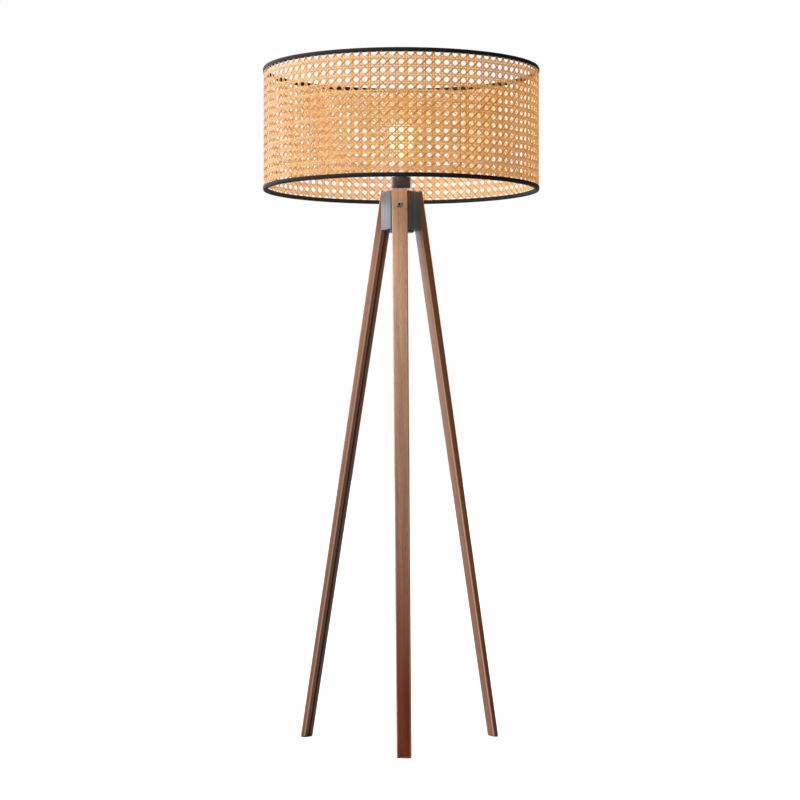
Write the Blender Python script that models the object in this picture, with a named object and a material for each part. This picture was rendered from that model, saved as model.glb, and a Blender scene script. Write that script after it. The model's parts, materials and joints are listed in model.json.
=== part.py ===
"""Tripod floor lamp with a woven cane drum shade.

Metres, +Z up. The origin is on the floor under the stem, and one leg points to -Y.
"""
import math

import bmesh
import bpy
from mathutils import Matrix, Vector

# Clearances
GAP = 0.0003
FIT = 0.0004

# Shade
SHADE_RADIUS = 0.300
SHADE_BOTTOM = 1.201
SHADE_TOP = 1.465
TRIM_HEIGHT = 0.0078
TRIM_THICKNESS = 0.0007
CANE_THICKNESS = 0.0020
RING_WIRE_RADIUS = 0.00225
ARM_RADIUS = 0.0020
ARM_HEIGHT = 1.250
ARM_BEND = 0.012
ARM_ANGLES = {"back": 90.0, "right": -30.0, "left": -150.0}
FITTING_HOLE = 0.0200
FITTING_RADIUS = 0.0280
FITTING_THICKNESS = 0.0024

# Legs
LEG_NAMES = {"front": -90.0, "back_right": 30.0, "back_left": 150.0}
LEG_TILT = math.radians(9.62)
LEG_LEAN = math.radians(1.2)
LEG_BOLT_HEIGHT = 1.165
LEG_BOLT_REACH = 0.0409
LEG_ABOVE_BOLT = 0.0358
LEG_TOP_SIZE = (0.0175, 0.0335)
LEG_FOOT_SIZE = (0.0125, 0.0310)
LEG_ARRIS = 0.0030
PAD_THINNEST = 0.0010
PAD_INSET = 0.0004

# Leg fixings
BOLT_RADIUS = 0.0030
BOLT_HOLE = 0.0034
BOLT_HEAD_RADIUS = 0.0057
BOLT_HEAD_HEIGHT = 0.0033
BOLT_SOCKET = 0.0023
BOLT_SOCKET_DEPTH = 0.0021
WASHER_RADIUS = 0.0068
WASHER_THICKNESS = 0.0012
INSERT_RADIUS = 0.0042
INSERT_LENGTH = 0.0082
BOLT_REACH_IN = 0.0065

# Hub
HUB_FACET = 0.0372
HUB_CORNER = 0.0400
HUB_BOTTOM = 1.115
HUB_TOP = 1.199
HUB_EDGE = 0.0038
HUB_ROUND = 0.0016
HUB_CAVITY_RADIUS = 0.0205
HUB_CAVITY_TOP = 1.180
HUB_CAP_RADIUS = 0.0275
HUB_CAP_HEIGHT = 0.0050

# Stem
STEM_RADIUS = 0.0050
STEM_BORE = 0.0035
STEM_HOLE = 0.0053
STEM_BOTTOM = 1.169
STEM_TOP = 1.215
STEM_WASHER_RADIUS = 0.0125
STEM_WASHER_THICKNESS = 0.0010
STEM_NUT_RADIUS = 0.0094
STEM_NUT_HEIGHT = 0.0058
LOCK_NUT_HEIGHT = 0.0035

# Lampholder
HOLDER_RADIUS = 0.0204
HOLDER_CAP_BOTTOM = 1.2067
HOLDER_CAP_TOP = 1.2300
HOLDER_WALL = 0.0022
HOLDER_FLOOR = 0.0030
SKIRT_RADIUS = 0.0195
SKIRT_BORE = 0.0148
SKIRT_BOTTOM = 1.2203
SKIRT_TOP = 1.2680
FLANGE_RADIUS = 0.0258
FLANGE_BOTTOM = 1.2445
FLANGE_TOP = 1.2477
CORE_BOTTOM = 1.2213
CORE_TOP = 1.2363
SHELL_TOP = 1.2655
SHELL_OUTER = 0.0144
SHELL_INNER = 0.0138
TERMINAL_SPREAD = 0.0080
TERMINAL_RADIUS = 0.0022
TERMINAL_LENGTH = 0.0045
RING_NUT_RADIUS = 0.0262
RING_NUT_HEIGHT = 0.0083
RING_NUT_TEETH = 24

# Bulb
BULB_CAP_RADIUS = 0.0131
BULB_CAP_BOTTOM = 1.2468
BULB_CAP_TOP = 1.2705
BULB_NECK = 0.0122
BULB_NECK_BOTTOM = 1.2560
BULB_NECK_TOP = 1.2720
BULB_RADIUS = 0.0300
BULB_CENTRE = 1.3210
BULB_GLASS = 0.0009
BULB_POST_RADIUS = 0.0065
BULB_POST_TOP = 1.3080

# Lead in the back left leg
LEAD_LEG = "back_left"
LEAD_RADIUS = 0.0028
LEAD_TOP = 1.2205
LEAD_TURN = 1.165
LEAD_BEND = 0.026
LEAD_SWING = math.radians(80.0)
GROOVE_WIDTH = 0.0062
GROOVE_DEPTH = 0.0068
GROOVE_START = -0.012
OUTLET_LENGTH = 0.014
NOTCH_TOP = 1.148

ROUND = 32
DRUM_ROUND = 60


# ---------------------------------------------------------------- worked-out sizes

CANE_OUTER = SHADE_RADIUS - TRIM_THICKNESS - FIT
CANE_INNER = CANE_OUTER - CANE_THICKNESS
WIRE_CIRCLE = CANE_INNER - FIT - RING_WIRE_RADIUS
TRIM_INNER = WIRE_CIRCLE - RING_WIRE_RADIUS - GAP - TRIM_THICKNESS
WIRE_LOW = SHADE_BOTTOM + TRIM_THICKNESS + GAP + RING_WIRE_RADIUS
WIRE_HIGH = SHADE_TOP - TRIM_THICKNESS - GAP - RING_WIRE_RADIUS
LEG_TO_FOOT = LEG_BOLT_HEIGHT / (math.cos(LEG_TILT) * math.cos(LEG_LEAN))


# ---------------------------------------------------------------- materials

def linear(red, green, blue):
    """An 8-bit sRGB colour as linear values."""
    return tuple(((value / 255.0 + 0.055) / 1.055) ** 2.4 for value in (red, green, blue))


def material(name, color, roughness, metallic=0.0):
    finish = bpy.data.materials.new(name)
    finish.use_nodes = True
    shader = finish.node_tree.nodes["Principled BSDF"]
    shader.inputs["Base Color"].default_value = (*linear(*color), 1.0)
    shader.inputs["Roughness"].default_value = roughness
    shader.inputs["Metallic"].default_value = metallic
    finish.diffuse_color = (*linear(*color), 1.0)
    return finish


# ---------------------------------------------------------------- mesh helpers

def add_mesh(name, bm, finish, place=None):
    """Link the bmesh as an object, closed and with its faces pointing out."""
    bmesh.ops.recalc_face_normals(bm, faces=bm.faces)
    mesh = bpy.data.meshes.new(name)
    bm.to_mesh(mesh)
    bm.free()
    mesh.shade_smooth()
    mesh.set_sharp_from_angle(angle=math.radians(35.0))
    if finish:
        mesh.materials.append(finish)
    obj = bpy.data.objects.new(name, mesh)
    bpy.context.scene.collection.objects.link(obj)
    if place:
        obj.matrix_world = place
    return obj


def turned(name, profile, finish, place=None, segments=ROUND):
    """A solid turned about local Z from a closed profile of (radius, height) points."""
    bm = bmesh.new()
    rings = []
    for radius, height in profile:
        if radius < 1e-9:
            rings.append([bm.verts.new((0.0, 0.0, height))] * segments)
            continue
        ring = []
        for step in range(segments):
            angle = 2.0 * math.pi * step / segments
            ring.append(bm.verts.new((radius * math.cos(angle), radius * math.sin(angle), height)))
        rings.append(ring)
    for lower, upper in zip(rings, rings[1:] + rings[:1]):
        for step in range(segments):
            after = (step + 1) % segments
            corners = list(dict.fromkeys((lower[step], lower[after], upper[after], upper[step])))
            if len(corners) > 2:
                bm.faces.new(corners)
    return add_mesh(name, bm, finish, place)


def lofted(name, sections, finish, place=None):
    """A solid through sections of equal point counts, closed by a face at each end."""
    bm = bmesh.new()
    rings = [[bm.verts.new(point) for point in section] for section in sections]
    bm.faces.new(rings[0])
    bm.faces.new(rings[-1])
    for lower, upper in zip(rings, rings[1:]):
        for step in range(len(lower)):
            after = (step + 1) % len(lower)
            bm.faces.new((lower[step], lower[after], upper[after], upper[step]))
    return add_mesh(name, bm, finish, place)


def swept(name, path, radius, finish, sides=8):
    """A round bar along a path that lies in one vertical plane through the stem axis."""
    sideways = path[0].cross(path[-1]).normalized()
    sections = []
    for index, point in enumerate(path):
        ahead = path[min(index + 1, len(path) - 1)] - path[max(index - 1, 0)]
        across = ahead.cross(sideways).normalized()
        section = []
        for step in range(sides):
            angle = 2.0 * math.pi * step / sides
            section.append(point + radius * (math.cos(angle) * across + math.sin(angle) * sideways))
        sections.append(section)
    return lofted(name, sections, finish)


def rounded(corners, radius, steps=3):
    """The outline of a convex polygon with an arc at each corner, counter-clockwise."""
    outline = []
    for index, corner in enumerate(corners):
        corner = Vector(corner)
        before = (Vector(corners[index - 1]) - corner).normalized()
        after = (Vector(corners[(index + 1) % len(corners)]) - corner).normalized()
        half = before.angle(after) / 2.0
        centre = corner + (before + after).normalized() * radius / math.sin(half)
        start = corner + before * radius / math.tan(half) - centre
        sweep = math.pi - 2.0 * half
        for step in range(steps + 1):
            turn = Matrix.Rotation(sweep * step / steps, 2)
            outline.append(centre + turn @ start)
    return outline


def at_height(outline, height):
    return [(point[0], point[1], height) for point in outline]


def hexagon(radius):
    return [Vector((radius * math.cos(k * math.pi / 3), radius * math.sin(k * math.pi / 3)))
            for k in range(6)]


def tube_profile(inner, outer, bottom, top):
    return [(inner, bottom), (outer, bottom), (outer, top), (inner, top)]


def ring_wire(name, height, finish):
    """A round wire bent into a full ring just inside the cane."""
    profile = []
    sides = 6
    for step in range(sides):
        angle = 2.0 * math.pi * step / sides
        profile.append((WIRE_CIRCLE + RING_WIRE_RADIUS * math.cos(angle),
                        height + RING_WIRE_RADIUS * math.sin(angle)))
    return turned(name, profile, finish, segments=DRUM_ROUND)


def cut(target, cutter):
    """Take the cutter out of the target. The cutter then only guides the modifier."""
    step = target.modifiers.new(cutter.name, "BOOLEAN")
    step.operation = "DIFFERENCE"
    step.solver = "EXACT"
    step.object = cutter
    cutter.hide_render = True
    cutter.display_type = "WIRE"


# ---------------------------------------------------------------- legs' axes and sections

def leg_frame(name):
    """Axes of a leg at its bolt: X out of the outer face, Z up along the leg."""
    about = Matrix.Rotation(math.radians(LEG_NAMES[name]), 4, "Z")
    place = Matrix.Translation((LEG_BOLT_REACH, 0.0, LEG_BOLT_HEIGHT))
    tilt = Matrix.Rotation(-LEG_TILT, 4, "Y")
    lean = Matrix.Rotation(LEG_LEAN, 4, "X")
    return about @ place @ tilt @ lean


def leg_half_size(along):
    """Half depth and half width of a leg at a distance up from its bolt."""
    down = (LEG_ABOVE_BOLT - along) / (LEG_ABOVE_BOLT + LEG_TO_FOOT)
    depth = LEG_TOP_SIZE[0] + (LEG_FOOT_SIZE[0] - LEG_TOP_SIZE[0]) * down
    width = LEG_TOP_SIZE[1] + (LEG_FOOT_SIZE[1] - LEG_TOP_SIZE[1]) * down
    return depth / 2.0, width / 2.0


def leg_section(along, grow=0.0):
    """The leg's rounded outline at a distance up from its bolt, in the leg's axes."""
    depth, width = leg_half_size(along)
    depth += grow
    width += grow
    corners = [(-depth, -width), (depth, -width), (depth, width), (-depth, width)]
    return at_height(rounded(corners, LEG_ARRIS), along)


def leg_foot_end():
    """Where the leg's square end lies, so that its lowest corner clears the floor."""
    depth, width = leg_half_size(-LEG_TO_FOOT)
    drop = depth * math.sin(LEG_TILT) + width * math.cos(LEG_TILT) * math.sin(LEG_LEAN)
    rise = PAD_THINNEST + GAP + drop
    return -LEG_TO_FOOT + rise / (math.cos(LEG_TILT) * math.cos(LEG_LEAN))


# ---------------------------------------------------------------- tripod

def hub_outline(inset):
    """Plan of the hub: three broad facets and, facing the legs, three cut corners."""
    reach = []
    for index in range(6):
        distance = (HUB_FACET if index % 2 == 0 else HUB_CORNER) - inset
        reach.append((math.radians(-150.0 + 60.0 * index), distance))
    corners = []
    for index in range(6):
        first, near = reach[index]
        second, far = reach[(index + 1) % 6]
        across = (far - near * math.cos(second - first)) / math.sin(second - first)
        corners.append((near * math.cos(first) - across * math.sin(first),
                        near * math.sin(first) + across * math.cos(first)))
    return rounded(corners, HUB_ROUND)


def make_hub(finish):
    sections = []
    for inset, height in ((0.0008, HUB_BOTTOM), (0.0, HUB_BOTTOM + 0.0008)):
        sections.append(at_height(hub_outline(inset), height))
    for step in range(5):
        angle = math.pi / 2 * step / 4
        inset = HUB_EDGE * (1.0 - math.cos(angle))
        sections.append(at_height(hub_outline(inset), HUB_TOP - HUB_EDGE * (1.0 - math.sin(angle))))
    hub = lofted("hub", sections, finish)
    profile = [(0.0, HUB_BOTTOM - 0.01), (HUB_CAVITY_RADIUS, HUB_BOTTOM - 0.01),
               (HUB_CAVITY_RADIUS, HUB_CAVITY_TOP), (0.0, HUB_CAVITY_TOP)]
    cut(hub, turned("hub_cavity_cutter", profile, None))
    profile = [(0.0, HUB_CAVITY_TOP - 0.005), (STEM_HOLE, HUB_CAVITY_TOP - 0.005),
               (STEM_HOLE, HUB_TOP + 0.005), (0.0, HUB_TOP + 0.005)]
    cut(hub, turned("hub_stem_cutter", profile, None, segments=24))
    for name in LEG_NAMES:
        sections = [leg_section(-0.060, GAP), leg_section(0.040, GAP)]
        slot = lofted("hub_slot_cutter_" + name, sections, None, leg_frame(name))
        cut(hub, slot)
        hole = bar_along_x("hub_insert_cutter_" + name, INSERT_RADIUS + GAP, -0.026, -0.004, name)
        cut(hub, hole)
    half = LEAD_RADIUS + 0.0010
    outline = [(0.015, -half), (0.046, -half), (0.046, half), (0.015, half)]
    sections = [at_height(outline, HUB_BOTTOM - 0.005), at_height(outline, NOTCH_TOP)]
    about = Matrix.Rotation(math.radians(LEG_NAMES[LEAD_LEG]), 4, "Z")
    cut(hub, lofted("hub_lead_cutter", sections, None, about))


def bar_along_x(name, radius, start, end, leg, finish=None, bore=0.0):
    """A round bar or a tube on the bolt's axis, between two distances from the leg's centre."""
    place = leg_frame(leg) @ Matrix.Rotation(math.pi / 2, 4, "Y")
    return turned(name, tube_profile(bore, radius, start, end), finish, place, segments=24)


def make_hub_cap(finish):
    """Round cap under the hub, held by a collar that enters the hub's cavity."""
    top = HUB_BOTTOM - GAP
    bottom = top - HUB_CAP_HEIGHT
    collar = HUB_CAVITY_RADIUS - FIT
    round_edge = 0.0020
    profile = [(0.0, bottom), (HUB_CAP_RADIUS - round_edge, bottom)]
    for step in range(1, 5):
        angle = math.pi / 2 * step / 4
        profile.append((HUB_CAP_RADIUS - round_edge * (1.0 - math.sin(angle)),
                        bottom + round_edge * (1.0 - math.cos(angle))))
    profile += [(HUB_CAP_RADIUS, top), (collar, top), (collar, top + 0.006),
                (collar - 0.003, top + 0.006), (collar - 0.003, top), (0.0, top)]
    turned("hub_bottom_cap", profile, finish)


def make_leg(name, finish):
    sections = [leg_section(leg_foot_end()), leg_section(LEG_ABOVE_BOLT)]
    leg = lofted("leg_" + name, sections, finish, leg_frame(name))
    cut(leg, bar_along_x("leg_hole_cutter_" + name, BOLT_HOLE, -0.02, 0.02, name))
    if name == LEAD_LEG:
        cut(leg, groove_cutter(name))


def groove_cutter(name):
    """The groove for the lead, parallel to the leg's inner face and open at the foot."""
    sections = []
    for along in (leg_foot_end() - 0.01, GROOVE_START):
        inner = -leg_half_size(along)[0]
        sections.append([(inner - 0.002, -GROOVE_WIDTH / 2, along),
                         (inner + GROOVE_DEPTH, -GROOVE_WIDTH / 2, along),
                         (inner + GROOVE_DEPTH, GROOVE_WIDTH / 2, along),
                         (inner - 0.002, GROOVE_WIDTH / 2, along)])
    return lofted("groove_cutter", sections, None, leg_frame(name))


def make_pad(name, finish):
    """A wedge between the leg's square end and the level floor."""
    frame = leg_frame(name)
    end = leg_foot_end() - GAP
    along = frame.to_3x3() @ Vector((0.0, 0.0, 1.0))
    top = [frame @ Vector(point) for point in leg_section(end, -PAD_INSET)]
    bottom = [point - along * (point.z / along.z) for point in top]
    lofted("foot_pad_" + name, [bottom, top], finish)


def make_fixing(name, steel, brass):
    """Bolt, washer and threaded insert of one leg."""
    face = leg_half_size(0.0)[0]
    under_washer = face + GAP
    under_head = under_washer + WASHER_THICKNESS + GAP
    bar_along_x("leg_washer_" + name, WASHER_RADIUS, under_washer,
                under_washer + WASHER_THICKNESS, name, steel, BOLT_HOLE)
    mouth = -face - 2.0 * GAP - 0.0002
    bar_along_x("leg_insert_" + name, INSERT_RADIUS, mouth - INSERT_LENGTH, mouth, name,
                brass, BOLT_RADIUS + GAP)
    profile = [(0.0, mouth - BOLT_REACH_IN), (BOLT_RADIUS, mouth - BOLT_REACH_IN),
               (BOLT_RADIUS, under_head), (BOLT_HEAD_RADIUS, under_head)]
    for step in range(5):
        angle = math.pi / 2 * step / 5
        profile.append((BOLT_HEAD_RADIUS * math.cos(angle * 0.75),
                        under_head + 0.0006 + (BOLT_HEAD_HEIGHT - 0.0006) * math.sin(angle * 1.2)))
    profile.append((0.0, profile[-1][1]))
    top = profile[-1][1]
    place = leg_frame(name) @ Matrix.Rotation(math.pi / 2, 4, "Y")
    bolt = turned("leg_bolt_" + name, profile, steel, place, segments=24)
    socket = [at_height(hexagon(BOLT_SOCKET), top - BOLT_SOCKET_DEPTH),
              at_height(hexagon(BOLT_SOCKET), top + 0.002)]
    cut(bolt, lofted("bolt_socket_cutter_" + name, socket, None, place))


# ---------------------------------------------------------------- stem and lampholder

def make_nut(name, radius, bottom, height, finish):
    """A hexagon nut with a smooth bore, on the stem."""
    sections = [at_height(hexagon(radius), bottom), at_height(hexagon(radius), bottom + height)]
    nut = lofted(name, sections, finish)
    profile = [(0.0, bottom - 0.002), (STEM_HOLE, bottom - 0.002),
               (STEM_HOLE, bottom + height + 0.002), (0.0, bottom + height + 0.002)]
    cut(nut, turned(name + "_cutter", profile, None, segments=24))


def make_stem(steel):
    profile = tube_profile(STEM_BORE, STEM_RADIUS, STEM_BOTTOM, STEM_TOP)
    turned("stem_tube", profile, steel, segments=24)
    top = HUB_TOP + GAP
    profile = tube_profile(STEM_HOLE, STEM_WASHER_RADIUS, top, top + STEM_WASHER_THICKNESS)
    turned("stem_top_washer", profile, steel, segments=32)
    make_nut("stem_top_nut", STEM_NUT_RADIUS, top + STEM_WASHER_THICKNESS + GAP,
             STEM_NUT_HEIGHT, steel)
    bottom = HUB_CAVITY_TOP - GAP - STEM_WASHER_THICKNESS
    profile = tube_profile(STEM_HOLE, STEM_WASHER_RADIUS, bottom, bottom + STEM_WASHER_THICKNESS)
    turned("stem_bottom_washer", profile, steel, segments=32)
    make_nut("stem_bottom_nut", STEM_NUT_RADIUS, bottom - GAP - STEM_NUT_HEIGHT,
             STEM_NUT_HEIGHT, steel)
    floor = HOLDER_CAP_BOTTOM + HOLDER_FLOOR + GAP
    make_nut("holder_lock_nut", STEM_NUT_RADIUS * 0.9, floor, LOCK_NUT_HEIGHT, steel)


def make_holder(black, white, ceramic, brass):
    inside = HOLDER_RADIUS - HOLDER_WALL
    floor = HOLDER_CAP_BOTTOM + HOLDER_FLOOR
    edge = 0.0012
    profile = [(STEM_HOLE, HOLDER_CAP_BOTTOM), (HOLDER_RADIUS - edge, HOLDER_CAP_BOTTOM),
               (HOLDER_RADIUS, HOLDER_CAP_BOTTOM + edge), (HOLDER_RADIUS, HOLDER_CAP_TOP),
               (inside, HOLDER_CAP_TOP), (inside, floor), (STEM_HOLE, floor)]
    turned("holder_cap", profile, black)
    spigot = inside - FIT
    profile = [(SKIRT_BORE, SKIRT_BOTTOM), (spigot, SKIRT_BOTTOM),
               (spigot, HOLDER_CAP_TOP + GAP), (SKIRT_RADIUS, HOLDER_CAP_TOP + GAP),
               (SKIRT_RADIUS, FLANGE_BOTTOM), (FLANGE_RADIUS, FLANGE_BOTTOM),
               (FLANGE_RADIUS, FLANGE_TOP), (SKIRT_RADIUS, FLANGE_TOP),
               (SKIRT_RADIUS, SKIRT_TOP), (SKIRT_BORE, SKIRT_TOP)]
    turned("holder_skirt", profile, white)
    profile = [(0.0, CORE_BOTTOM), (SHELL_OUTER, CORE_BOTTOM), (SHELL_OUTER, CORE_TOP),
               (0.0, CORE_TOP)]
    turned("holder_core", profile, ceramic)
    profile = tube_profile(SHELL_INNER, SHELL_OUTER, CORE_TOP + GAP, SHELL_TOP)
    turned("holder_screw_shell", profile, brass)
    profile = [(0.0, CORE_TOP + GAP), (0.0050, CORE_TOP + GAP), (0.0040, CORE_TOP + 0.0028),
               (0.0, CORE_TOP + 0.0028)]
    turned("holder_centre_contact", profile, brass, segments=24)
    for name, side in (("left", -1.0), ("right", 1.0)):
        top = CORE_BOTTOM - GAP
        profile = [(0.0, top - TERMINAL_LENGTH), (TERMINAL_RADIUS, top - TERMINAL_LENGTH),
                   (TERMINAL_RADIUS, top), (0.0, top)]
        place = Matrix.Translation((side * TERMINAL_SPREAD, 0.0, 0.0))
        turned("holder_terminal_" + name, profile, brass, place, segments=16)


def make_ring_nut(finish):
    """Ring nut that clamps the fitting ring on the skirt's flange, with grip teeth round it."""
    bottom = FLANGE_TOP + GAP + FITTING_THICKNESS + GAP
    outline = []
    for step in range(RING_NUT_TEETH * 4):
        angle = 2.0 * math.pi * step / (RING_NUT_TEETH * 4)
        reach = RING_NUT_RADIUS - (0.0008 if step % 4 in (0, 1) else 0.0)
        outline.append((reach * math.cos(angle), reach * math.sin(angle)))
    sections = [at_height(outline, bottom), at_height(outline, bottom + RING_NUT_HEIGHT)]
    nut = lofted("shade_ring_nut", sections, finish)
    inner = SKIRT_RADIUS + FIT
    profile = [(0.0, bottom - 0.002), (inner, bottom - 0.002),
               (inner, bottom + RING_NUT_HEIGHT + 0.002), (0.0, bottom + RING_NUT_HEIGHT + 0.002)]
    cut(nut, turned("ring_nut_cutter", profile, None))


# ---------------------------------------------------------------- bulb

def bulb_profile(shrink):
    """Outline of the glass from the neck's mouth to the crown, drawn in by a thickness."""
    points = [(BULB_NECK - shrink, BULB_NECK_BOTTOM)]
    for step in range(7):
        share = step / 6
        swell = (1.0 - math.cos(math.pi * share)) / 2.0
        points.append((BULB_NECK + (BULB_RADIUS - BULB_NECK) * swell - shrink,
                       BULB_NECK_TOP + (BULB_CENTRE - BULB_NECK_TOP) * share))
    for step in range(1, 6):
        angle = math.pi / 2 * step / 6
        points.append(((BULB_RADIUS - shrink) * math.cos(angle),
                       BULB_CENTRE + (BULB_RADIUS - shrink) * math.sin(angle)))
    points.append((0.0, BULB_CENTRE + BULB_RADIUS - shrink))
    return points


def make_bulb(glass, metal, insulator, white):
    turned("bulb_glass", bulb_profile(0.0) + bulb_profile(BULB_GLASS)[::-1], glass, segments=24)
    outer = [(0.0, BULB_CAP_BOTTOM), (0.0118, BULB_CAP_BOTTOM)]
    threads = 5
    for step in range(threads * 2 + 1):
        height = BULB_CAP_BOTTOM + 0.0022 + 0.0018 * step
        outer.append((BULB_CAP_RADIUS - 0.0007 * (step % 2), height))
    outer += [(BULB_CAP_RADIUS, BULB_CAP_TOP), (BULB_NECK + FIT, BULB_CAP_TOP),
              (BULB_NECK + FIT, BULB_NECK_BOTTOM - 0.0006),
              (0.0108, BULB_NECK_BOTTOM - 0.0016), (0.0108, BULB_CAP_BOTTOM + 0.0012),
              (0.0, BULB_CAP_BOTTOM + 0.0012)]
    turned("bulb_cap", outer, metal, segments=24)
    tip = CORE_TOP + 0.0028 + GAP
    profile = [(0.0, tip), (0.0030, tip), (0.0045, tip + 0.0012), (0.0045, tip + 0.0017),
               (0.0, tip + 0.0017)]
    turned("bulb_tip", profile, metal, segments=24)
    low = tip + 0.0017 + GAP
    profile = [(0.0, low), (0.0050, low), (0.0112, BULB_CAP_BOTTOM - GAP - 0.0006),
               (0.0112, BULB_CAP_BOTTOM - GAP), (0.0, BULB_CAP_BOTTOM - GAP)]
    turned("bulb_insulator", profile, insulator, segments=24)
    low = BULB_CAP_BOTTOM + 0.0012 + GAP
    profile = [(0.0, low), (BULB_POST_RADIUS, low), (BULB_POST_RADIUS, BULB_POST_TOP - 0.002),
               (BULB_POST_RADIUS - 0.002, BULB_POST_TOP), (0.0, BULB_POST_TOP)]
    turned("bulb_light_post", profile, white, segments=24)


# ---------------------------------------------------------------- shade

def make_shade(cane, binding, coated):
    low = SHADE_BOTTOM + TRIM_THICKNESS + GAP
    high = SHADE_TOP - TRIM_THICKNESS - GAP
    turned("shade_cane", tube_profile(CANE_INNER, CANE_OUTER, low, high), cane,
           segments=DRUM_ROUND)
    for name, edge, side in (("bottom", SHADE_BOTTOM, 1.0), ("top", SHADE_TOP, -1.0)):
        wall = TRIM_THICKNESS
        profile = [(SHADE_RADIUS, edge), (SHADE_RADIUS, edge + side * TRIM_HEIGHT),
                   (SHADE_RADIUS - wall, edge + side * TRIM_HEIGHT),
                   (SHADE_RADIUS - wall, edge + side * wall),
                   (TRIM_INNER + wall, edge + side * wall),
                   (TRIM_INNER + wall, edge + side * TRIM_HEIGHT),
                   (TRIM_INNER, edge + side * TRIM_HEIGHT), (TRIM_INNER, edge)]
        turned("shade_trim_" + name, profile, binding, segments=DRUM_ROUND)
    ring_wire("shade_top_ring", WIRE_HIGH, coated)
    ring_wire("shade_bottom_ring", WIRE_LOW, coated)
    bottom = FLANGE_TOP + GAP
    profile = tube_profile(FITTING_HOLE, FITTING_RADIUS, bottom, bottom + FITTING_THICKNESS)
    turned("shade_fitting_ring", profile, coated)
    for name, degrees in ARM_ANGLES.items():
        swept("shade_arm_" + name, arm_path(degrees), ARM_RADIUS, coated)


def arm_path(degrees):
    """Up from the lower ring beside the cane, then level to the fitting ring's rim."""
    foot = WIRE_LOW + RING_WIRE_RADIUS + GAP
    points = [(WIRE_CIRCLE, foot), (WIRE_CIRCLE, ARM_HEIGHT - ARM_BEND)]
    for step in range(1, 7):
        angle = math.pi / 2 * step / 6
        points.append((WIRE_CIRCLE - ARM_BEND * (1.0 - math.cos(angle)),
                       ARM_HEIGHT - ARM_BEND * (1.0 - math.sin(angle))))
    points.append((FITTING_RADIUS + GAP, ARM_HEIGHT))
    about = Matrix.Rotation(math.radians(degrees), 3, "Z")
    return [about @ Vector((radius, 0.0, height)) for radius, height in points]


# ---------------------------------------------------------------- lead

def groove_point(along):
    """A point on the lead's centreline where it lies on the floor of the groove."""
    inner = -leg_half_size(along)[0]
    return leg_frame(LEAD_LEG) @ Vector((inner + GROOVE_DEPTH - GAP - LEAD_RADIUS, 0.0, along))


def lead_path():
    """Down the stem, out of the hub in two equal bends, then down the groove to its outlet."""
    reach = LEAD_BEND * (1.0 + math.cos(LEG_TILT) - 2.0 * math.cos(LEAD_SWING))
    drop = LEAD_BEND * (2.0 * math.sin(LEAD_SWING) - math.sin(LEG_TILT))
    join_height = LEAD_TURN - drop
    along = (join_height - LEG_BOLT_HEIGHT) / math.cos(LEG_TILT)
    landing = groove_point(along)
    outward = Vector((landing.x, landing.y, 0.0)).normalized()
    stretch = Vector((landing.x, landing.y)).length / reach
    points = [Vector((0.0, 0.0, LEAD_TOP)), Vector((0.0, 0.0, LEAD_TURN))]
    mid_reach = LEAD_BEND * (1.0 - math.cos(LEAD_SWING))
    mid_drop = LEAD_BEND * math.sin(LEAD_SWING)
    steps = 6
    for step in range(1, steps + 1):
        angle = LEAD_SWING * step / steps
        reach = LEAD_BEND * (1.0 - math.cos(angle))
        points.append(outward * reach * stretch
                      + Vector((0.0, 0.0, LEAD_TURN - LEAD_BEND * math.sin(angle))))
    for step in range(1, steps):
        angle = LEAD_SWING + (LEG_TILT - LEAD_SWING) * step / steps
        reach = mid_reach + LEAD_BEND * (math.cos(angle) - math.cos(LEAD_SWING))
        drop = mid_drop + LEAD_BEND * (math.sin(LEAD_SWING) - math.sin(angle))
        points.append(outward * reach * stretch + Vector((0.0, 0.0, LEAD_TURN - drop)))
    end = leg_foot_end() + OUTLET_LENGTH + GAP
    runs = 12
    for step in range(runs + 1):
        points.append(groove_point(along + (end - along) * step / runs))
    return points


def make_lead(rubber):
    curve = bpy.data.curves.new("leg_lead", "CURVE")
    curve.dimensions = "3D"
    curve.bevel_depth = LEAD_RADIUS
    curve.bevel_resolution = 2
    curve.use_fill_caps = True
    path = lead_path()
    spline = curve.splines.new("POLY")
    spline.points.add(len(path) - 1)
    for point, place in zip(spline.points, path):
        point.co = (*place, 1.0)
    curve.materials.append(rubber)
    obj = bpy.data.objects.new("leg_lead", curve)
    bpy.context.scene.collection.objects.link(obj)
    frame = leg_frame(LEAD_LEG)
    low = leg_foot_end()
    half = GROOVE_WIDTH / 2 - GAP
    sections = []
    for along, back in ((low, 0.0), (low + OUTLET_LENGTH - 0.003, 0.0), (low + OUTLET_LENGTH, 0.002)):
        inner = -leg_half_size(along)[0]
        sections.append([(inner + back, -half, along), (inner + GROOVE_DEPTH - GAP, -half, along),
                         (inner + GROOVE_DEPTH - GAP, half, along), (inner + back, half, along)])
    lofted("lead_outlet", sections, rubber, frame)


# ---------------------------------------------------------------- assembly

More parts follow.
